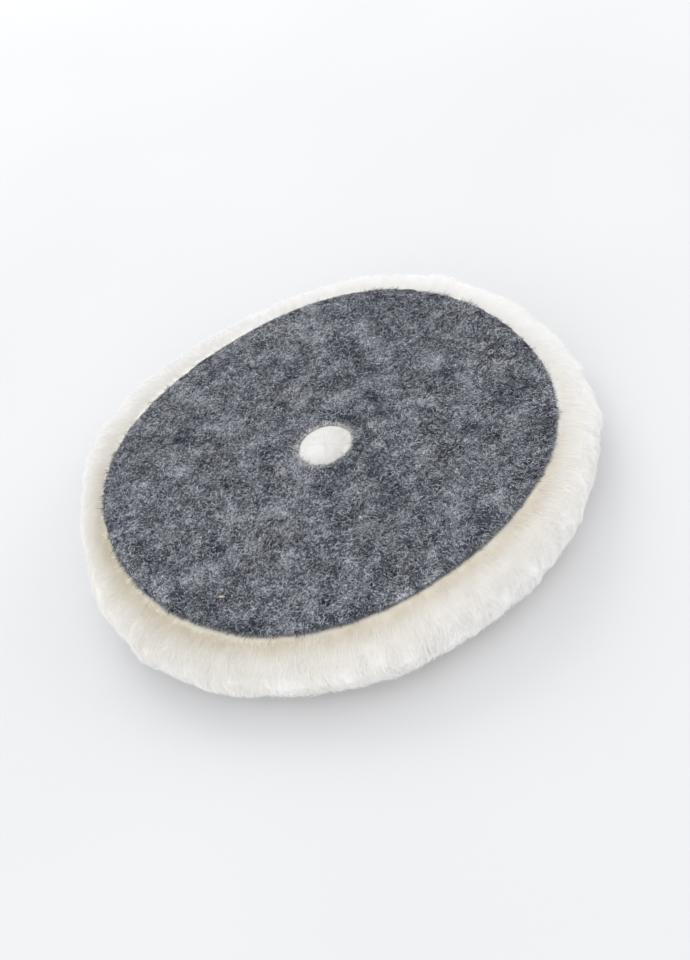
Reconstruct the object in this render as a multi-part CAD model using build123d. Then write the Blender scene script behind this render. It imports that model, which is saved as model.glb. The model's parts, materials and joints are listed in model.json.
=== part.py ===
from build123d import *
import os

# A lambswool polishing pad, lying on its wool with the loop backing up.
# Millimetres. +Z is up and is the pad's axis. The origin is on that axis, in the plane of
# the wool tips that the pad lies on.

# Driving dimensions
LOOP_FACE_HEIGHT = 22.0          # from the wool tips up to the face that the hooks grip
BACKING_DIAMETER = 150.0
BACKING_THICKNESS = 1.5
FILM_THICKNESS = 0.3
HIDE_THICKNESS = 1.2
CENTRE_HOLE_DIAMETER = 19.0

FLEECE_DIAMETER = 178.0
FLEECE_WIDEST_HEIGHT = 15.0      # height of the fleece's widest ring
FLEECE_SHOULDER_DROP = 0.8       # how far the fleece beside the rim stays below the loop face
FLEECE_SHOULDER_WIDTH = 5.0      # from the rim of the hide to the highest ring of the fleece
FLEECE_FOOT_RADIUS = 73.0        # where the flat working face turns up into the side
FLEECE_RIM_GAP = 0.3             # air between the fleece and the rim of the stack
FLEECE_HOLE_FOOT_RADIUS = 6.0    # the wool leans in and narrows the hole towards the tips

# Worked out from them
BACKING_BASE = LOOP_FACE_HEIGHT - BACKING_THICKNESS
FILM_BASE = BACKING_BASE - FILM_THICKNESS
HIDE_BASE = FILM_BASE - HIDE_THICKNESS
RIM_RADIUS = BACKING_DIAMETER / 2
HOLE_RADIUS = CENTRE_HOLE_DIAMETER / 2
FLEECE_RADIUS = FLEECE_DIAMETER / 2


def ring(outer_radius, inner_radius, base, thickness):
    """A flat washer from base upwards, centred on the pad's axis."""
    face = Circle(outer_radius) - Circle(inner_radius)
    return extrude(Pos(0, 0, base) * face, amount=thickness)


def loop_backing():
    """The grey loop fabric that the hooks of a backing plate grip."""
    return ring(RIM_RADIUS, HOLE_RADIUS, BACKING_BASE, BACKING_THICKNESS)


def bonding_film():
    """The hot-melt film that laminates the loop fabric to the skin."""
    return ring(RIM_RADIUS, HOLE_RADIUS, FILM_BASE, FILM_THICKNESS)


def lambskin_hide():
    """The tanned skin that carries the wool."""
    return ring(RIM_RADIUS, HOLE_RADIUS, HIDE_BASE, HIDE_THICKNESS)


def wool_fleece():
    """The wool: flat under the skin, bulging out past its rim, and open at the centre hole."""
    gap_radius = RIM_RADIUS + FLEECE_RIM_GAP
    shoulder_radius = RIM_RADIUS + FLEECE_SHOULDER_WIDTH
    shoulder_height = LOOP_FACE_HEIGHT - FLEECE_SHOULDER_DROP
    root_height = BACKING_BASE
    foot = EllipticalCenterArc(
        (FLEECE_FOOT_RADIUS, FLEECE_WIDEST_HEIGHT),
        FLEECE_RADIUS - FLEECE_FOOT_RADIUS,
        FLEECE_WIDEST_HEIGHT,
        start_angle=270,
        arc_size=90,
    )
    shoulder = EllipticalCenterArc(
        (shoulder_radius, FLEECE_WIDEST_HEIGHT),
        FLEECE_RADIUS - shoulder_radius,
        shoulder_height - FLEECE_WIDEST_HEIGHT,
        start_angle=0,
        arc_size=90,
    )
    rest = Polyline(
        (shoulder_radius, shoulder_height),
        (gap_radius, root_height),
        (gap_radius, HIDE_BASE),
        (HOLE_RADIUS, HIDE_BASE),
        (FLEECE_HOLE_FOOT_RADIUS, 0),
        (FLEECE_FOOT_RADIUS, 0),
    )
    profile = make_face(Plane.XZ * Wire([*foot.edges(), *shoulder.edges(), *rest.edges()]))
    return revolve(profile, Axis.Z)


PIECES = {
    "loop_backing": loop_backing,
    "bonding_film": bonding_film,
    "lambskin_hide": lambskin_hide,
    "wool_fleece": wool_fleece,
}

os.makedirs("parts", exist_ok=True)
for node, make in PIECES.items():
    export_step(make(), f"parts/{node}.step")
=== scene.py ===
import json
import math

import bpy
import numpy as np
from mathutils import Matrix, Vector


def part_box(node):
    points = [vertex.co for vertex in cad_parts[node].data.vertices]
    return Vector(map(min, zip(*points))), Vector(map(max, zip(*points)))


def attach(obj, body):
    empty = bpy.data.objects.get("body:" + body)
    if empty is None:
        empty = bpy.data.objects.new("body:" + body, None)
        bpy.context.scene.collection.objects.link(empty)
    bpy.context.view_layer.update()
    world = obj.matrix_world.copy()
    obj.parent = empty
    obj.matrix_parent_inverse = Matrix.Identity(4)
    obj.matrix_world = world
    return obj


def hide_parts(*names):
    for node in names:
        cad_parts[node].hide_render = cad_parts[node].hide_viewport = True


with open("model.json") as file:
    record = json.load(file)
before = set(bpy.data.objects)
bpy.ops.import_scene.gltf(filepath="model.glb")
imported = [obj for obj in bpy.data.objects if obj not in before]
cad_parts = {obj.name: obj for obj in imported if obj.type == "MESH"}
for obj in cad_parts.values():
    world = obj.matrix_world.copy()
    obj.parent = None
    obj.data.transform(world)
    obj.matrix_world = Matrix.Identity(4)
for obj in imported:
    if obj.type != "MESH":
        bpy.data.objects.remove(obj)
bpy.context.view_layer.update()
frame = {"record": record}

MM = 0.001
TAU = 2 * math.pi


# ---------------------------------------------------------------- places, in millimetres
def top_of(node):
    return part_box(node)[1].z / MM


def bottom_of(node):
    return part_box(node)[0].z / MM


def radius_of(node):
    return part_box(node)[1].x / MM


def mount_named(name):
    return next(mount for mount in frame["record"]["mounts"] if mount["name"] == name)


FACE_HEIGHT = top_of("loop_backing")
BACKING_BASE = bottom_of("loop_backing")
FILM_BASE = bottom_of("bonding_film")
HIDE_BASE = bottom_of("lambskin_hide")
FLEECE_TOP = top_of("wool_fleece")
RIM_RADIUS = radius_of("loop_backing")
FLEECE_RADIUS = radius_of("wool_fleece")
HOLE_RADIUS = mount_named("centre_hole")["dims"]["r_mm"]


# ---------------------------------------------------------------- shape of the pad
def warp(x, y):
    """How far the limp pad's layers are lifted at (x, y): two crossed waves that grow outwards."""
    share = np.clip(np.hypot(x, y) / RIM_RADIUS, 0, 1.15)
    angle = np.arctan2(y, x)
    two_waves = 0.3 * np.cos(2 * angle) - 0.4 * np.sin(2 * angle)
    three_waves = -2.15 * np.cos(3 * angle) + 0.6 * np.sin(3 * angle)
    return share**2 * two_waves + share**3 * three_waves


# How the wool stands out unevenly round the pad: lobes, their height, and the degrees one faces
BULGE_LOBES = [(1, 0.7, 175), (2, 2.4, 98), (3, 1.2, 0), (4, 1.2, 32), (5, 0.7, -10)]
BULGE_MEAN = 0.3


def bulge(angle):
    """How far the wool stands out more or less than its outline, round the pad."""
    lobes = (
        height * np.cos(count * (angle - math.radians(facing))) for count, height, facing in BULGE_LOBES
    )
    return BULGE_MEAN + sum(lobes)


# ---------------------------------------------------------------- meshes
def add_mesh(name, points, faces, material, values=None, smooth=True):
    """A new mesh piece from points in millimetres and an array of faces, all with as many corners.
    values holds one number per point under each attribute's name, for the material to read."""
    mesh = bpy.data.meshes.new(name)
    points = np.asarray(points, np.float32) * MM
    faces = np.asarray(faces, np.int32)
    corners = faces.shape[1]
    mesh.vertices.add(len(points))
    mesh.vertices.foreach_set("co", points.ravel())
    mesh.loops.add(faces.size)
    mesh.loops.foreach_set("vertex_index", faces.ravel())
    mesh.polygons.add(len(faces))
    mesh.polygons.foreach_set("loop_start", np.arange(0, faces.size, corners, dtype=np.int32))
    mesh.polygons.foreach_set("loop_total", np.full(len(faces), corners, np.int32))
    for attribute, numbers in (values or {}).items():
        layer = mesh.attributes.new(attribute, "FLOAT", "POINT")
        layer.data.foreach_set("value", np.asarray(numbers, np.float32).ravel())
    mesh.update(calc_edges=True)
    mesh.validate()
    mesh.polygons.foreach_set("use_smooth", np.full(len(mesh.polygons), smooth))
    mesh.materials.append(material)
    piece = bpy.data.objects.new(name, mesh)
    bpy.context.scene.collection.objects.link(piece)
    return piece


def closed_grid(rows, columns):
    """Quads of a torus-like grid: both directions close on themselves."""
    row, column = np.meshgrid(np.arange(rows), np.arange(columns), indexing="ij")
    next_row = (row + 1) % rows
    next_column = (column + 1) % columns
    return np.stack(
        [row * columns + column, row * columns + next_column,
         next_row * columns + next_column, next_row * columns + column], -1
    ).reshape(-1, 4)


def add_fibres(name, centres, thickness, tone, material, tip=None):
    """Fine three-sided tubes along centres, an array of (fibre, point, xyz) in millimetres.
    A fibre is closed by a point at each end, and thickest in its middle. The material can read
    tip, from 0 at the root to 1 at the tip, and tone, one value for the whole fibre."""
    count, points, _ = centres.shape
    along = np.gradient(centres, axis=1)
    along /= np.linalg.norm(along, axis=2, keepdims=True) + 1e-9
    across = np.cross(along, np.array([0.31, 0.17, 0.93]))
    across /= np.linalg.norm(across, axis=2, keepdims=True) + 1e-9
    upright = np.cross(along, across)
    inner = slice(1, points - 1)
    radius = np.sin(np.linspace(0.12, 0.94, points) * math.pi)[None, :, None]
    radius = radius * np.asarray(thickness).reshape(-1, 1, 1) / 2
    sides = 3
    turns = np.arange(sides) * TAU / sides
    rings = centres[:, inner, None, :] + radius[:, inner, None, :] * (
        np.cos(turns)[None, None, :, None] * across[:, inner, None, :]
        + np.sin(turns)[None, None, :, None] * upright[:, inner, None, :]
    )
    ring_count = points - 2
    per_fibre = ring_count * sides + 2
    vertices = np.concatenate(
        [centres[:, :1], rings.reshape(count, -1, 3), centres[:, -1:]], axis=1
    ).reshape(-1, 3)
    first, last = 0, per_fibre - 1
    pattern = []
    for side in range(sides):
        beside = (side + 1) % sides
        pattern.append((first, 1 + beside, 1 + side))
        end = 1 + (ring_count - 1) * sides
        pattern.append((last, end + side, end + beside))
        for ring in range(ring_count - 1):
            a = 1 + ring * sides + side
            b = 1 + ring * sides + beside
            pattern.append((a, b, b + sides))
            pattern.append((a, b + sides, a + sides))
    faces = (np.arange(count)[:, None, None] * per_fibre + np.array(pattern)[None]).reshape(-1, 3)
    if tip is None:
        tip = np.tile(np.linspace(0, 1, points), (count, 1))
    tip = np.concatenate([tip[:, :1], np.repeat(tip[:, inner], sides, axis=1), tip[:, -1:]], axis=1)
    values = {"tip": tip, "tone": np.repeat(tone, per_fibre)}
    return add_mesh(name, vertices, faces, material, values, smooth=False)


# ---------------------------------------------------------------- repeatable random shapes
def smooth_noise(u, v, cells, seed):
    """Smooth random values from -1 to 1 at (u, v), on a grid of cells that wraps at u = 1 and v = 1."""
    grid = np.random.default_rng(seed).uniform(-1, 1, cells)
    x = np.mod(u, 1) * cells[0]
    y = np.mod(v, 1) * cells[1]
    column = np.floor(x).astype(int)
    row = np.floor(y).astype(int)
    x = x - column
    y = y - row
    x = x * x * (3 - 2 * x)
    y = y * y * (3 - 2 * y)
    column %= cells[0]
    row %= cells[1]
    beside = (column + 1) % cells[0]
    above = (row + 1) % cells[1]
    low = grid[column, row] * (1 - x) + grid[beside, row] * x
    high = grid[column, above] * (1 - x) + grid[beside, above] * x
    return low * (1 - y) + high * y


def plane_noise(x, y, size, seed):
    """Smooth noise over the pad's plane with features about size millimetres across."""
    span = 4 * RIM_RADIUS
    cells = max(2, round(span / size))
    return smooth_noise(x / span + 0.5, y / span + 0.5, (cells, cells), seed)


# ---------------------------------------------------------------- the fleece's shape
def softened_loop(corners, step, softness):
    """A closed outline through corners, rounded off over softness, as points step apart."""
    corners = np.array(corners, float)
    runs = []
    for start, end in zip(corners, np.roll(corners, -1, axis=0)):
        pieces = max(1, round(np.hypot(*(end - start)) / step))
        runs.append(start + (end - start) * np.arange(pieces)[:, None] / pieces)
    dense = np.concatenate(runs)
    waves = np.fft.fftfreq(len(dense), d=step)
    blur = np.exp(-2 * (math.pi * waves * softness) ** 2)[:, None]
    return np.fft.ifft(np.fft.fft(dense, axis=0) * blur, axis=0).real


OUTLINE_STEP = 0.25
OUTLINE_SOFTNESS = 0.9
TIPS_STAND_OUT = 0.8        # the fibres' tips stand this far out of the dense wool
FACE_NAP = 2.0              # the same for the working face
WIDEST = FLEECE_RADIUS - TIPS_STAND_OUT
CREST = FLEECE_TOP - TIPS_STAND_OUT
FOOT = (78.0, FACE_NAP + 0.7)
FACE_END = (8.0, FACE_NAP + 0.8)
FUNNEL_WAIST = (0.15, 20.8)  # where the wool that leans into the centre hole meets

# The section of the dense wool, as (radius, height): over the rim, down the side, inwards along
# the working face, up the funnel at the centre, and back under the skin
FLEECE_OUTLINE = softened_loop(
    [
        (RIM_RADIUS - 0.8, FILM_BASE),
        (RIM_RADIUS + 0.5, BACKING_BASE + 0.2),
        (RIM_RADIUS + 2.0, BACKING_BASE + 0.1),
        (RIM_RADIUS + 5.0, CREST),
        (WIDEST - 4.0, CREST - 0.9),
        (WIDEST - 0.9, 17.4),
        (WIDEST + 0.1, 14.0),
        (WIDEST - 1.2, 9.5),
        (WIDEST - 4.7, 5.2),
        FOOT,
        (70.0, FACE_NAP),
        (40.0, FACE_NAP),
        (14.0, FACE_NAP),
        FACE_END,
        (4.0, 4.5),
        (1.2, 8.5),
        (FUNNEL_WAIST[0], 12.0),
        FUNNEL_WAIST,
        (2.5, 21.9),
        (6.0, 22.0),
        (HOLE_RADIUS - 0.7, 21.8),
        (HOLE_RADIUS + 0.2, BACKING_BASE),
        (HOLE_RADIUS + 0.8, HIDE_BASE),
        (40.0, HIDE_BASE),
        (70.0, HIDE_BASE),
    ],
    OUTLINE_STEP,
    OUTLINE_SOFTNESS,
)
OUTLINE_LOOP = np.concatenate([FLEECE_OUTLINE, FLEECE_OUTLINE[:1]])
OUTLINE_TANGENTS = np.gradient(OUTLINE_LOOP, axis=0)
OUTLINE_TANGENTS /= np.linalg.norm(OUTLINE_TANGENTS, axis=1, keepdims=True)
OUTLINE_LENGTHS = np.concatenate([[0], np.cumsum(np.hypot(*np.diff(OUTLINE_LOOP, axis=0).T))])
GIRTH = OUTLINE_LENGTHS[-1]


def on_outline(s):
    """Radius, height and outward normal of the fleece's outline at arc length s."""
    s = np.mod(s, GIRTH)
    radius = np.interp(s, OUTLINE_LENGTHS, OUTLINE_LOOP[:, 0])
    height = np.interp(s, OUTLINE_LENGTHS, OUTLINE_LOOP[:, 1])
    tangent_r = np.interp(s, OUTLINE_LENGTHS, OUTLINE_TANGENTS[:, 0])
    tangent_z = np.interp(s, OUTLINE_LENGTHS, OUTLINE_TANGENTS[:, 1])
    return radius, height, -tangent_z, tangent_r


def arc_at(place):
    """Arc length of the outline's nearest point to place."""
    gap = np.hypot(*(FLEECE_OUTLINE - place).T)
    return OUTLINE_LENGTHS[int(gap.argmin())]


# Stretches of the outline, by arc length from the rim
S_FOOT = arc_at(FOOT)
S_FACE_END = arc_at(FACE_END)
S_WAIST = arc_at(FUNNEL_WAIST)
S_SKIN = arc_at((HOLE_RADIUS + 0.2, BACKING_BASE))
LUMP_HEIGHT = 0.85          # how far the wool's lumps stand out
LUMPS = (64, 12)            # their number round the pad, and along the outline
TEETH_HEIGHT = 0.4          # the same for the smaller teeth between them
TEETH = (180, 14)
LOWEST = 0.12               # nothing reaches the plane that the pad lies on


def fleece_noise(s, angle, cells, seed):
    """Smooth noise over the fleece, in so many cells round the pad and along its outline."""
    return smooth_noise(angle / TAU, s / GIRTH, cells, seed)


def fleece_point(s, angle, lift):
    """A point over the dense wool: at arc length s, round the pad by angle, and lifted off it."""
    radius, height, out_r, out_z = on_outline(s)
    radius = radius + lift * out_r
    height = height + lift * out_z
    outside = np.clip((radius - RIM_RADIUS) / (FLEECE_RADIUS - RIM_RADIUS), 0, 1)
    lumps = LUMP_HEIGHT * fleece_noise(s, angle, LUMPS, 11)
    lumps = lumps + TEETH_HEIGHT * fleece_noise(s, angle, TEETH, 12)
    radius = radius + outside * (bulge(angle) + lumps)
    x = radius * np.cos(angle)
    y = radius * np.sin(angle)
    height = height + np.clip(height / HIDE_BASE, 0, 1) * warp(x, y)
    return np.stack([x, y, np.maximum(height, LOWEST)], -1)


# Painted light: round the pad, the wool is painted whiter towards this side, where more light falls on the
# fleece
PAINTED_LIGHT_SIDE = math.radians(70)
PAINTED_LIGHT_WHITENESS = 0.65     # how much whiter that painted light makes the side of the fleece there
FACE_WHITENESS = 0.35       # how much whiter the working face is than its distance from the skin says
HOLE_WHITENESS = 0.6        # the same for the wool in the centre hole
ROOT_REACH = 19.0           # the wool is white this far from the skin


def whiteness_and_painted_light(s, angle):
    """How far along from warm roots, 0, to white tips, 1, the wool shows at a place, plus painted light
    that makes one side of the fleece whiter.
    """
    from_skin = np.minimum(s, np.abs(S_SKIN - s)) / ROOT_REACH
    # painted light: the share of extra whiteness, largest on the side where more light falls
    painted_light_share = np.clip(0.35 + 0.75 * np.cos(angle - PAINTED_LIGHT_SIDE), 0, 1)
    underneath = np.where(s < S_WAIST, FACE_WHITENESS, HOLE_WHITENESS)
    return from_skin + np.where(s < S_FOOT, PAINTED_LIGHT_WHITENESS * painted_light_share, underneath)


# How deep the dense wool's relief is: pairs of arc length and depth
RELIEF = [
    (0, 0.05), (11, 0.08), (17, 0.3), (S_FOOT + 3, 0.4), (S_FACE_END, 0.4), (S_WAIST, 0.1), (S_SKIN, 0),
    (GIRTH, 0),
]
FULL_RELIEF_RADIUS = 20     # nearer the centre than this, the relief is shallower


def dense_wool(material):
    """The dense inside of the fleece: one closed body, smooth at the side and tufted below."""
    side_rows, other_rows, columns = 100, 90, 500
    s = np.concatenate([
        np.linspace(0, S_FOOT, side_rows, endpoint=False),
        np.linspace(S_FOOT, GIRTH, other_rows, endpoint=False),
    ])
    angle = np.linspace(0, TAU, columns, endpoint=False)
    s, angle = np.meshgrid(s, angle, indexing="ij")
    streaks = fleece_noise(s, angle, (260, 26), 21)
    tufts = fleece_noise(s, angle, (110, 60), 22)
    relief = np.interp(s, *np.array(RELIEF).T)
    relief = relief * np.clip(on_outline(s)[0] / FULL_RELIEF_RADIUS, 0.15, 1)
    points = fleece_point(s, angle, relief * (0.6 * streaks + tufts))
    # tip holds the wool's whiteness, including painted light that makes one side of the fleece whiter
    values = {"tip": whiteness_and_painted_light(s, angle).clip(0, 1), "tone": 0.8 + 0.2 * tufts}
    faces = closed_grid(side_rows + other_rows, columns)[:, ::-1]
    return add_mesh("fleece_dense_wool", points.reshape(-1, 3), faces, material, values)


ROW_SHIFT = 0.381           # of a turn, from one row of locks to the next, so that none line up
LOCK_JITTER = 0.35          # how far a lock's middle is off its cell's, in cells


def locks(s, angle, size, seed):
    """For each fibre, the middle of its lock, and three random values that its lock shares."""
    rows = round(GIRTH / size)
    columns = np.maximum(6, np.round(TAU * on_outline(s)[0] / size))
    most_columns = round(TAU * FLEECE_RADIUS / size) + 1
    row = np.floor(s / GIRTH * rows).astype(int) % rows
    shift = row * ROW_SHIFT
    column = np.floor(np.mod(angle / TAU + shift, 1) * columns).astype(int)
    shared = np.random.default_rng(seed).uniform(-1, 1, (rows, most_columns, 5))[row, column]
    middle_s = (row + 0.5 + LOCK_JITTER * shared[:, 3]) * GIRTH / rows
    middle_angle = TAU * ((column + 0.5 + LOCK_JITTER * shared[:, 4]) / columns - shift)
    middle_angle = angle + np.mod(middle_angle - angle + math.pi, TAU) - math.pi
    return middle_s, middle_angle, shared[:, :3].T


ROOT_DEPTH = 0.4            # fibres start this far inside the dense wool
FIBRE_POINTS = 4            # along one fibre
SPREAD = (0.7, 1.3)         # of the fibres' thickness


def scattered_roots(rng, count, stretch):
    """Up to count places over a stretch of the outline, as arc lengths and angles, evenly by area."""
    tries = 4 * count
    s = rng.uniform(*stretch, tries)
    angle = rng.uniform(0, TAU, tries)
    radius = on_outline(s)[0]
    kept = rng.uniform(0, radius.max(), tries) < radius
    return s[kept][:count], angle[kept][:count]


def paced(course, reach):
    """How far lines get along and across: each is reach long, in equal steps along its course."""
    step = reach[:, None] / (course.shape[1] - 1)
    along = np.cos(course) * step
    across = np.sin(course) * step
    return np.cumsum(along, axis=1) - along[:, :1], np.cumsum(across, axis=1) - across[:, :1]


def combed_fibres(name, count, stretch, length, seed, material, thickness=0.09, lean=0.0,
                  heading=0.12, lock_size=2.2, clump=0.08, unevenness=0.1, rise=(0.2, 0.2)):
    """Fibres that run over the dense wool from roots in a stretch of its outline.
    lean is their course off the outline's own direction, in radians, and heading how much that
    varies. Fibres of one lock gather towards its middle by clump and differ from the next lock
    by unevenness. rise is how far tips stand off: at least, and by how much more."""
    rng = np.random.default_rng(seed)
    s, angle = scattered_roots(rng, count, stretch)
    middle_s, middle_angle, (lock_heading, lock_rise, lock_length) = locks(s, angle, lock_size, seed + 1)
    flow = fleece_noise(s, angle, (22, 10), seed + 2)
    own = rng.normal(0, 1, (3, len(s)))
    course = lean + heading * (flow + 2.5 * unevenness * lock_heading + 0.5 * own[0])
    bend = 0.35 * own[1]
    reach = rng.uniform(*length, len(s)) * (1 + unevenness * lock_length)
    height = rise[0] * (1 + 2 * unevenness * lock_rise) + rise[1] * np.abs(own[2])
    t = np.linspace(0, 1, FIBRE_POINTS)[None]
    run, drift = paced(course[:, None] + bend[:, None] * (t - 0.3), reach)
    to_middle = clump * t**1.3
    radius = np.maximum(on_outline(s)[0], 2.0)[:, None]
    along = s[:, None] + run + to_middle * (middle_s - s)[:, None]
    around = angle[:, None] + drift / radius + to_middle * (middle_angle - angle)[:, None]
    lift = height[:, None] * t**0.4 - ROOT_DEPTH * (1 - t) ** 6
    centres = fleece_point(along, around, lift)
    # tip holds the wool's whiteness, including painted light that makes one side of the fleece whiter
    tip = (whiteness_and_painted_light(along, around) - 0.1 + 0.2 * t).clip(0, 1)
    thickness = thickness * rng.uniform(*SPREAD, len(s))
    return add_fibres(name, centres, thickness, rng.uniform(0, 1, len(s)), material, tip)


# ---------------------------------------------------------------- the layers
EDGE_ROUNDING = 0.25        # of a layer's corners
FRAY_REACH = 1.0            # how far in from a cut edge the fraying moves a layer
EDGE_TOOTH = 1.8            # the length of one tooth of a frayed edge
HOLE_FRAY = 0.6             # how much the hole's edge frays, for 1 at the rim


def layer(name, node, material, columns, face_rows, roughness, fray, seed, inset):
    """A limp ring of sheet in a node's place, with a rough upper face and frayed cut edges."""
    base, top = bottom_of(node), top_of(node)
    inner, outer = HOLE_RADIUS + inset, radius_of(node) - inset
    side_rows, bottom_rows = 4, 8
    corner = min(EDGE_ROUNDING, (top - base) / 3)
    upward = np.linspace(base + corner, top - corner, side_rows)
    r = np.concatenate([
        np.full(side_rows, inner),
        np.linspace(inner + corner, outer - corner, face_rows),
        np.full(side_rows, outer),
        np.linspace(outer - corner, inner + corner, bottom_rows),
    ])
    z = np.concatenate([upward, np.full(face_rows, top), upward[::-1], np.full(bottom_rows, base)])
    r, turn = np.meshgrid(r, np.linspace(0, 1, columns, endpoint=False), indexing="ij")
    z = np.broadcast_to(z[:, None], r.shape)
    near_edge = np.clip(1 - np.minimum(outer - r, r - inner) / FRAY_REACH, 0, 1)
    outward = np.where(r > (outer + inner) / 2, 1.0, -HOLE_FRAY)
    teeth = smooth_noise(turn, z / 20, (round(TAU * outer / EDGE_TOOTH), 14), seed)
    wander = smooth_noise(turn, 0 * turn, (40, 1), seed + 1)
    r = r + near_edge * outward * fray * (0.6 * teeth + 0.4 * wander)
    x, y = r * np.cos(turn * TAU), r * np.sin(turn * TAU)
    nap = 0.6 * plane_noise(x, y, 1.3, seed + 2) + 0.4 * plane_noise(x, y, 3.5, seed + 3)
    z = z + np.where(z >= top, roughness, 0) * nap + warp(x, y)
    points = np.stack([x, y, z], -1).reshape(-1, 3)
    rows = 2 * side_rows + face_rows + bottom_rows
    return add_mesh(name, points, closed_grid(rows, columns), material)


TONE_RANGE = (-0.2, 1.2)    # beyond 0 and 1, so that many fibres take the end colours
BLOTCH_STRENGTH = 0.5
BLOTCHES = [(0.36, 13.0, 901), (0.28, 5.0, 903), (0.36, 2.2, 902)]    # share, size and seed


def blotches(x, y):
    """Where the loop fabric is lighter, towards 1, or darker, towards -1."""
    return sum(share * plane_noise(x, y, size, seed) for share, size, seed in BLOTCHES)


def curled_paths(x, y, reach, curl, heading, points=FIBRE_POINTS):
    """Flat curled lines centred on (x, y), as arrays of their points' x and y, and the share along."""
    t = np.linspace(-0.5, 0.5, points)[None]
    course = heading[:, None] + 2 * curl[:, None] * t
    step = reach[:, None] / (points - 1)
    dx = np.cumsum(np.cos(course) * step, axis=1)
    dy = np.cumsum(np.sin(course) * step, axis=1)
    return x[:, None] + dx - dx.mean(1, keepdims=True), y[:, None] + dy - dy.mean(1, keepdims=True), t


FELT_LENGTH = (1.0, 2.6)    # of the short fibres on the loop face
FELT_THICKNESS = 0.14
FELT_HEIGHT = (0.1, 0.4)    # how high they arch
FELT_DEPTH = 0.1            # how far their ends are sunk into the fabric
EDGE_BEND = 0.4             # this near the rim, they start to bend down over it
EDGE_SLOPE = 0.8


def felt_fibres(name, count, seed, material):
    """Short curled fibres that lie tangled on the loop face, paler in the fabric's light blotches."""
    rng = np.random.default_rng(seed)
    r = np.sqrt(rng.uniform((HOLE_RADIUS + 0.1) ** 2, (RIM_RADIUS - 0.15) ** 2, count))
    angle = rng.uniform(0, TAU, count)
    x, y = r * np.cos(angle), r * np.sin(angle)
    tone = np.clip(rng.uniform(*TONE_RANGE, count) + BLOTCH_STRENGTH * blotches(x, y), 0, 1)
    curl = rng.normal(0, 1.0, count)
    x, y, t = curled_paths(x, y, rng.uniform(*FELT_LENGTH, count), curl, rng.uniform(0, TAU, count))
    arch = 1 - (2 * t) ** 2
    z = FACE_HEIGHT + warp(x, y) - FELT_DEPTH + arch * rng.uniform(*FELT_HEIGHT, count)[:, None]
    z = z - EDGE_SLOPE * np.clip(np.hypot(x, y) - RIM_RADIUS + EDGE_BEND, 0, None)
    thickness = FELT_THICKNESS * rng.uniform(*SPREAD, count)
    return add_fibres(name, np.stack([x, y, z], -1), thickness, tone, material)


FUZZ_THICKNESS = 0.12
FUZZ_STAND_OUT = 0.2        # how far the loose ends reach past a cut edge, at least
FUZZ_TUFTS = 240            # places round an edge where they reach further or less far
HOLE_FUZZ = 1.6             # how much denser they are at the hole than at the rim


def edge_fuzz(name, count, seed, material):
    """Loose fibre ends that stand out of the loop fabric's two cut edges."""
    rng = np.random.default_rng(seed)
    at_rim = rng.uniform(0, 1, count) < RIM_RADIUS / (RIM_RADIUS + HOLE_FUZZ * HOLE_RADIUS)
    radius = np.where(at_rim, RIM_RADIUS - 0.3, HOLE_RADIUS + 0.2)[:, None]
    outward = np.where(at_rim, 1, -1)[:, None]
    t = np.linspace(0, 1, FIBRE_POINTS)[None]
    own = rng.normal(0, 1, (3, count, 1))
    angle = rng.uniform(0, TAU, (count, 1)) + 0.7 * own[0] * t / radius
    tufts = smooth_noise(angle[:, :1] / TAU, 0.5, (FUZZ_TUFTS, 1), seed + 1)
    stand_out = FUZZ_STAND_OUT + np.abs(own[1]) * (0.65 + 0.5 * tufts)
    r = radius + outward * (-0.5 + (0.5 + stand_out) * t**0.8)
    drop = 0.25 * own[2] - 0.1
    z = rng.uniform(BACKING_BASE + 0.3, FACE_HEIGHT - 0.1, (count, 1)) + drop * t
    x, y = r * np.cos(angle), r * np.sin(angle)
    centres = np.stack([x, y, z + warp(x, y)], -1)
    thickness = FUZZ_THICKNESS * rng.uniform(*SPREAD, count)
    return add_fibres(name, centres, thickness, rng.uniform(0, 1, count), material)


HALO_SIDE = math.radians(225)   # the wool round the centre hole reaches furthest this way
HALO_REACH = (0.8, 1.6)
HALO_EXTRA_REACH = 2.6      # how much further it can reach on that side
HALO_THICKNESS = (0.03, 0.07)
HALO_DEPTH = 0.7            # its roots are this far below the loop face


def hole_halo(name, count, seed, material):
    """Wool that has worked its way up round the centre hole and lies on the loop face."""
    rng = np.random.default_rng(seed)
    angle = rng.uniform(0, TAU, count)
    thick_side = 0.5 + 0.5 * np.cos(angle - HALO_SIDE)
    reach = rng.uniform(*HALO_REACH, count) + HALO_EXTRA_REACH * thick_side * rng.uniform(0, 1, count) ** 2
    heading = angle + rng.normal(0, 0.6, count)
    t = np.linspace(0, 1, FIBRE_POINTS)[None]
    start = HOLE_RADIUS - rng.uniform(0.1, 1.4, count)
    x = (start * np.cos(angle))[:, None] + (reach * np.cos(heading))[:, None] * t
    y = (start * np.sin(angle))[:, None] + (reach * np.sin(heading))[:, None] * t
    top = rng.uniform(0.3, 0.9, count)[:, None]
    z = FACE_HEIGHT + warp(x, y) - HALO_DEPTH + (HALO_DEPTH + top) * t**0.5 - 0.4 * t**2
    centres = np.stack([x, y, z], -1)
    thickness = rng.uniform(*HALO_THICKNESS, count)
    tip = np.full((count, FIBRE_POINTS), 0.8)
    return add_fibres(name, centres, thickness, rng.uniform(0, 1, count), material, tip)


STRAW_PLACE = (-45.5, -46.4)
STRAW_LENGTH, STRAW_CURL, STRAW_HEADING = 2.5, 0.25, -0.55
STRAW_THICKNESS = 0.75
STRAW_HEIGHT = 0.38         # of its middle over the loop face


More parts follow.
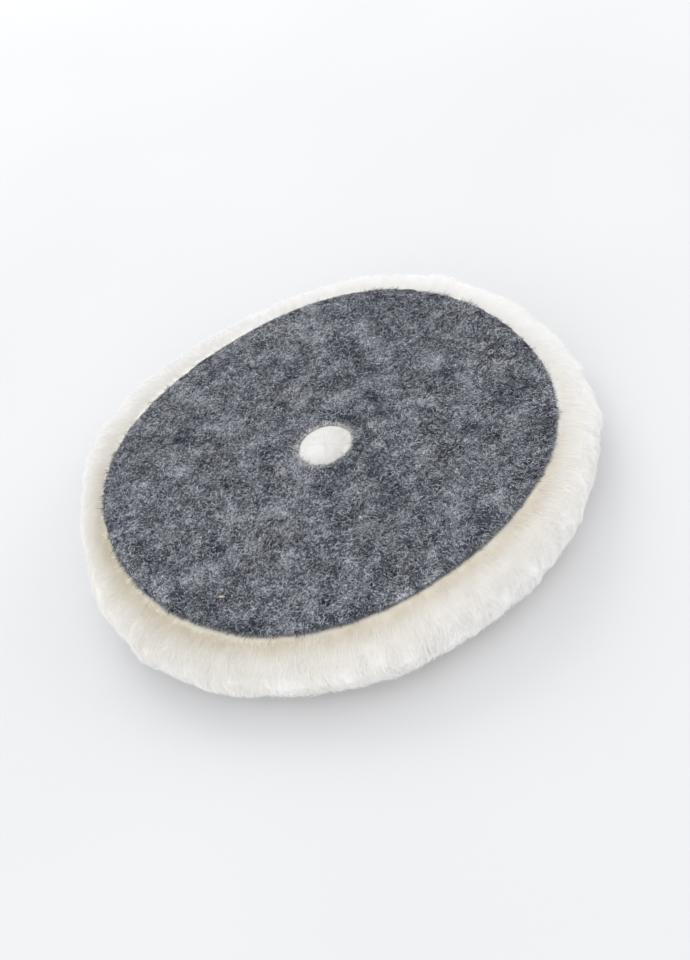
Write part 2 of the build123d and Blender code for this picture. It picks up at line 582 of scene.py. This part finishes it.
def straw_fleck(material):
    """One splinter of straw caught in the loop fabric, as natural fibre often has."""
    shape = np.array([[STRAW_LENGTH], [STRAW_CURL], [STRAW_HEADING]])
    x, y, t = curled_paths(*np.array([STRAW_PLACE]).T, *shape, points=7)
    z = FACE_HEIGHT + warp(x, y) + STRAW_HEIGHT - 0.8 * t**2
    centres = np.stack([x, y, z], -1)
    return add_fibres("loop_fabric_straw_fleck", centres, [STRAW_THICKNESS], np.array([0.8]), material)


# ---------------------------------------------------------------- materials
def new_material(name, roughness=0.9, specular=0.15, sheen=0.0):
    """A material, its Principled shader, and short ways to add and link its nodes."""
    material = bpy.data.materials.new(name)
    material.use_nodes = True
    tree = material.node_tree
    shader = tree.nodes["Principled BSDF"]
    shader.inputs["Roughness"].default_value = roughness
    shader.inputs["Specular IOR Level"].default_value = specular
    shader.inputs["Sheen Weight"].default_value = sheen

    def add(kind, **settings):
        node = tree.nodes.new("ShaderNode" + kind)
        for key, value in settings.items():
            setattr(node, key, value)
        return node

    return material, shader, add, tree.links.new


def fill(link, socket, value):
    """Gives a socket a number, or a link from another node's output."""
    if isinstance(value, (int, float)):
        socket.default_value = value
    else:
        link(value, socket)


def ramp(add, link, share, stops):
    """A colour along stops of (position, colour), picked by share."""
    node = add("ValToRGB")
    elements = node.color_ramp.elements
    while len(elements) < len(stops):
        elements.new(0.5)
    for element, (position, colour) in zip(elements, stops):
        element.position = position
        element.color = (*colour, 1)
    link(share, node.inputs["Fac"])
    return node.outputs["Color"]


def noise(add, link, place, scale, detail=2.0, roughness=0.5):
    """Noise with its features 1 / scale metres across."""
    node = add("TexNoise")
    fill(link, node.inputs["Scale"], scale)
    fill(link, node.inputs["Detail"], detail)
    fill(link, node.inputs["Roughness"], roughness)
    link(place, node.inputs["Vector"])
    return node.outputs["Fac"]


def arithmetic(add, link, operation, *values, clamp=False):
    """The result of a Math node's operation on numbers or on other nodes' outputs."""
    node = add("Math", operation=operation, use_clamp=clamp)
    for socket, value in zip(node.inputs, values):
        fill(link, socket, value)
    return node.outputs[0]


def blend_colours(add, link, share, first, second, kind):
    """Two colours combined by a kind of blending."""
    node = add("MixRGB", blend_type=kind)
    for socket, value in zip(node.inputs, (share, first, second)):
        fill(link, socket, value)
    return node.outputs["Color"]


def add_bump(add, link, shader, height, distance, strength):
    """Grain on the shader's surface, distance metres high."""
    bump = add("Bump")
    fill(link, bump.inputs["Strength"], strength)
    fill(link, bump.inputs["Distance"], distance)
    link(height, bump.inputs["Height"])
    link(bump.outputs["Normal"], shader.inputs["Normal"])


def attribute(add, name):
    """A number that the mesh holds at each point."""
    return add("Attribute", attribute_name=name).outputs["Fac"]


def wool_material(name, subsurface):
    """Lambswool: warm at the roots, nearly white at the tips, with slight differences between fibres. The
    tip value it reads also holds painted light, whiter on one side of the fleece.
    """
    material, shader, add, link = new_material(name, sheen=0.1, specular=0.1)
    place = add("TexCoord").outputs["Object"]
    drift = noise(add, link, place, 90)
    tip = arithmetic(add, link, "MULTIPLY_ADD", drift, 0.3, attribute(add, "tip"))
    tip = arithmetic(add, link, "SUBTRACT", tip, 0.15, clamp=True)
    colour = ramp(add, link, tip, [(0.0, WOOL_ROOT), (0.45, WOOL_MIDDLE), (1.0, WOOL_TIP)])
    shade = ramp(add, link, attribute(add, "tone"), [(0.0, (0.93, 0.92, 0.91)), (0.6, (1, 1, 1))])
    link(blend_colours(add, link, 1.0, colour, shade, "MULTIPLY"), shader.inputs["Base Color"])
    shader.inputs["Subsurface Weight"].default_value = subsurface
    shader.inputs["Subsurface Radius"].default_value = (1.0, 0.9, 0.8)
    shader.inputs["Subsurface Scale"].default_value = 3 * MM
    return material


STREAK_SCALE = 2600
STREAK_WIDTH = 0.16         # of the streaks' length


def olive_drift(add, link, place):
    """Nearly white, with faint olive patches, to be multiplied with a grey."""
    drift = noise(add, link, place, 55, 1)
    return ramp(add, link, drift, [(0.55, (1, 1, 1)), (0.75, (1.01, 1.0, 0.96))])


def felt_material():
    """Grey loop fabric between its fibres: charcoal and grey streaks, in lighter and darker blotches."""
    material, shader, add, link = new_material("grey_loop_fabric", roughness=0.95, sheen=0.1)
    place = add("TexCoord").outputs["Object"]
    bend = add("TexNoise")
    bend.inputs["Scale"].default_value = 260
    link(place, bend.inputs["Vector"])
    swirl = blend_colours(add, link, 0.004, place, bend.outputs["Color"], "LINEAR_LIGHT")
    streaks = []
    for turn in range(4):
        mapping = add("Mapping")
        mapping.inputs["Rotation"].default_value = (0, 0, turn * math.pi / 4 + 0.2)
        mapping.inputs["Scale"].default_value = (1.0, STREAK_WIDTH, 1.0)
        link(swirl, mapping.inputs["Vector"])
        streaks.append(noise(add, link, mapping.outputs["Vector"], STREAK_SCALE, 2, 0.6))
    first = arithmetic(add, link, "MAXIMUM", streaks[0], streaks[1])
    second = arithmetic(add, link, "MAXIMUM", streaks[2], streaks[3])
    strokes = arithmetic(add, link, "MULTIPLY", arithmetic(add, link, "ADD", first, second), 0.5)
    blotch = noise(add, link, place, 130, 4, 0.6)
    light = arithmetic(add, link, "MULTIPLY_ADD", blotch, 0.4, strokes)
    colour = ramp(add, link, light, [(0.67, FELT_SHADOW), (0.77, FELT_MIDDLE), (0.90, FELT_PALE)])
    olive = olive_drift(add, link, place)
    link(blend_colours(add, link, 1.0, colour, olive, "MULTIPLY"), shader.inputs["Base Color"])
    add_bump(add, link, shader, strokes, 0.3 * MM, 0.7)
    return material


def fibre_material(name, stops):
    """Dyed fibre, with a colour along stops for each fibre's tone and a faint olive drift."""
    material, shader, add, link = new_material(name, roughness=0.85, specular=0.2)
    dyed = ramp(add, link, attribute(add, "tone"), stops)
    olive = olive_drift(add, link, add("TexCoord").outputs["Object"])
    link(blend_colours(add, link, 1.0, dyed, olive, "MULTIPLY"), shader.inputs["Base Color"])
    return material


def mottled_material(name, colours, scale, bump_distance, roughness, detail=4.0, sheen=0.0):
    """A surface that drifts between two colours, with fine grain that stands up by bump_distance."""
    material, shader, add, link = new_material(name, roughness=roughness, sheen=sheen)
    place = add("TexCoord").outputs["Object"]
    drift = noise(add, link, place, scale, detail)
    link(ramp(add, link, drift, [(0.3, colours[0]), (0.7, colours[1])]), shader.inputs["Base Color"])
    grain = noise(add, link, place, scale * 8, detail)
    add_bump(add, link, shader, grain, bump_distance, 0.5)
    return material


WOOL_ROOT = (0.74, 0.675, 0.54)
WOOL_MIDDLE = (0.89, 0.87, 0.825)
WOOL_TIP = (0.955, 0.953, 0.945)
FELT_SHADOW = (0.012, 0.015, 0.026)
FELT_MIDDLE = (0.118, 0.125, 0.146)
FELT_PALE = (0.60, 0.62, 0.66)
STRAW_DARK = (0.40, 0.32, 0.2)
STRAW_PALE = (0.60, 0.51, 0.36)
# The film is painted dark brown: partly its own colour, partly painted shade for the dark line under the
# loop fabric's rim
FILM_AND_PAINTED_SHADE_COLOURS = [(0.10, 0.085, 0.065), (0.16, 0.14, 0.11)]
SKIN_COLOURS = [(0.78, 0.69, 0.52), (0.86, 0.79, 0.65)]
FLOOR_COLOURS = [(0.74, 0.74, 0.745), (0.76, 0.76, 0.765)]

WOOL = wool_material("lambswool", 0.6)
WOOL_FIBRE = wool_material("lambswool_fibre", 0.0)
FELT = felt_material()
FELT_FIBRE = fibre_material("grey_fibre", [(0.0, FELT_SHADOW), (0.45, FELT_MIDDLE), (1.0, FELT_PALE)])
STRAW = fibre_material("straw", [(0.0, STRAW_DARK), (1.0, STRAW_PALE)])
FILM_WITH_PAINTED_SHADE = mottled_material(
    "hot_melt_film", FILM_AND_PAINTED_SHADE_COLOURS, scale=900, bump_distance=0.04 * MM, roughness=0.5,
)
SKIN = mottled_material(
    "tanned_skin", SKIN_COLOURS, scale=500, bump_distance=0.1 * MM, roughness=0.85, sheen=0.1,
)


# ---------------------------------------------------------------- the pieces
FIBRES_PER_PIECE = 16500
HOLE_FIBRES = 5000
HALO_FIBRES = 900
FUZZ_FIBRES = 10000
FELT_INSET = 0.3            # the loop fabric's cut edges are this far in, between their fraying
HIDDEN_INSET = 0.9          # the film and the skin stay this far inside the loop fabric's edges


def comb_fleece():
    """The fleece's loose fibres: each piece covers a stretch of its outline."""
    wool = {"count": FIBRES_PER_PIECE, "material": WOOL_FIBRE}
    pieces = [
        combed_fibres("fleece_rim_fibres_a", stretch=(-4.0, 5.0), length=(6, 11), seed=101, **wool),
        combed_fibres("fleece_rim_fibres_b", stretch=(-1.0, 17.0), length=(6, 11), seed=131, **wool),
        combed_fibres("fleece_side_fibres_a", stretch=(8.0, 25.0), length=(5, 9), seed=161, **wool),
        combed_fibres(
            "fleece_side_fibres_b", stretch=(13.0, S_FOOT), length=(4, 8), seed=171, **wool,
            thickness=0.13, heading=0.3, lock_size=3.4, clump=0.45, unevenness=0.35, rise=(0.6, 0.3),
        ),
        combed_fibres(
            "fleece_fringe_fibres", stretch=(7.0, S_FOOT), length=(4, 8), seed=181, **wool,
            heading=0.3, lock_size=2.8, clump=0.4, unevenness=0.35, rise=(0.4, 0.6),
        ),
        combed_fibres(
            "fleece_hole_fibres", HOLE_FIBRES, stretch=(S_WAIST, S_SKIN - 0.5), length=(4, 8), seed=201,
            material=WOOL_FIBRE, lean=math.pi, heading=0.3, rise=(0.2, 0.3),
        ),
        hole_halo("fleece_hole_halo", HALO_FIBRES, 221, WOOL_FIBRE),
    ]
    for letter, seed in (("a", 191), ("b", 211)):
        pieces.append(combed_fibres(
            f"fleece_face_fibres_{letter}", stretch=(S_FOOT - 4, S_FACE_END), length=(3.5, 6.5),
            seed=seed, **wool, thickness=0.17, lean=1.2, heading=1.4, lock_size=3.2, clump=0.6,
            unevenness=0.5, rise=(1.0, 0.4),
        ))
    return pieces


def cover_loop_face():
    """All that lies on the loop fabric or stands out of it."""
    pieces = [
        felt_fibres(f"felt_fibres_{letter}", FIBRES_PER_PIECE, seed, FELT_FIBRE)
        for letter, seed in (("a", 71), ("b", 73), ("c", 81), ("d", 83))
    ]
    pieces.append(edge_fuzz("felt_edge_fuzz", FUZZ_FIBRES, 91, FELT_FIBRE))
    pieces.append(straw_fleck(STRAW))
    return pieces


fleece = dense_wool(WOOL)
wool_fibres = comb_fleece()
felt = layer(
    "backing_felt", "loop_backing", FELT, columns=720, face_rows=110, roughness=0.12, fray=1.1,
    seed=41, inset=FELT_INSET,
)
film = layer(
    "bonding_film_sheet", "bonding_film", FILM_WITH_PAINTED_SHADE, columns=360, face_rows=24, roughness=0, fray=0.15,
    seed=51, inset=HIDDEN_INSET,
)
skin = layer(
    "lambskin", "lambskin_hide", SKIN, columns=360, face_rows=24, roughness=0.05, fray=0.2,
    seed=61, inset=HIDDEN_INSET,
)
felt_pieces = cover_loop_face()

for piece in [fleece, *wool_fibres, felt, *felt_pieces, film, skin]:
    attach(piece, "root")
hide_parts("wool_fleece")
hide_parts("loop_backing")
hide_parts("bonding_film")
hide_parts("lambskin_hide")


# ---------------------------------------------------------------- setting
FLOOR_WIDTH = 6             # metres


def studio_floor():
    """A plain pale floor under the pad."""
    bpy.ops.mesh.primitive_plane_add(size=FLOOR_WIDTH)
    floor = bpy.context.object
    floor.name = "studio_floor"
    paint = mottled_material(
        "floor_paint", FLOOR_COLOURS, scale=8, bump_distance=0.1 * MM, roughness=0.9, detail=1.0,
    )
    floor.data.materials.append(paint)


SOFTBOX_WIDTH = 1.0         # metres


def softbox(name, location, power):
    """A round soft light that faces the pad."""
    light = bpy.data.lights.new(name, "AREA")
    light.shape = "DISK"
    light.size = SOFTBOX_WIDTH
    light.energy = power
    lamp = bpy.data.objects.new(name, light)
    lamp.location = location
    lamp.rotation_euler = Vector(location).to_track_quat("Z", "Y").to_euler()
    bpy.context.scene.collection.objects.link(lamp)


ROOM_COLOUR = (0.97, 0.98, 1.0)


def room_light(strength):
    """Even light from all round."""
    world = bpy.data.worlds.new("room")
    bpy.context.scene.world = world
    world.use_nodes = True
    background = world.node_tree.nodes["Background"]
    background.inputs["Color"].default_value = (*ROOM_COLOUR, 1)
    background.inputs["Strength"].default_value = strength


ELEVATION = math.radians(42.8)
ROLL = math.radians(-21.4)
DISTANCE = 0.4776           # metres
AIM = (0.0066, -0.0117)     # metres in the picture's plane, from the middle of the loop face
LENS = 55.43                # millimetres


def camera():
    """The camera: it looks down at the loop face, and is rolled about its own line of sight."""
    back = Vector((0, -math.cos(ELEVATION), math.sin(ELEVATION)))
    right = Vector((1, 0, 0))
    up = back.cross(right)
    across = math.cos(ROLL) * right + math.sin(ROLL) * up
    upward = -math.sin(ROLL) * right + math.cos(ROLL) * up
    middle = Vector((0, 0, FACE_HEIGHT * MM))
    place = middle + AIM[0] * across + AIM[1] * upward + DISTANCE * back
    data = bpy.data.cameras.new("camera")
    data.lens = LENS
    data.sensor_width = 36
    data.clip_start = 0.01
    view = bpy.data.objects.new("camera", data)
    view.matrix_world = Matrix.Translation(place) @ Matrix((across, upward, back)).transposed().to_4x4()
    bpy.context.scene.collection.objects.link(view)
    bpy.context.scene.camera = view


studio_floor()
softbox("front", (-0.55, -1.0, 0.4), power=3.2)
softbox("right", (1.1, 0.1, 0.45), power=2.2)
softbox("back", (-0.1, 1.0, 0.8), power=4.5)
room_light(strength=0.97)
camera()
bpy.context.scene.view_settings.view_transform = "Standard"
bpy.context.scene.cycles.diffuse_bounces = 12
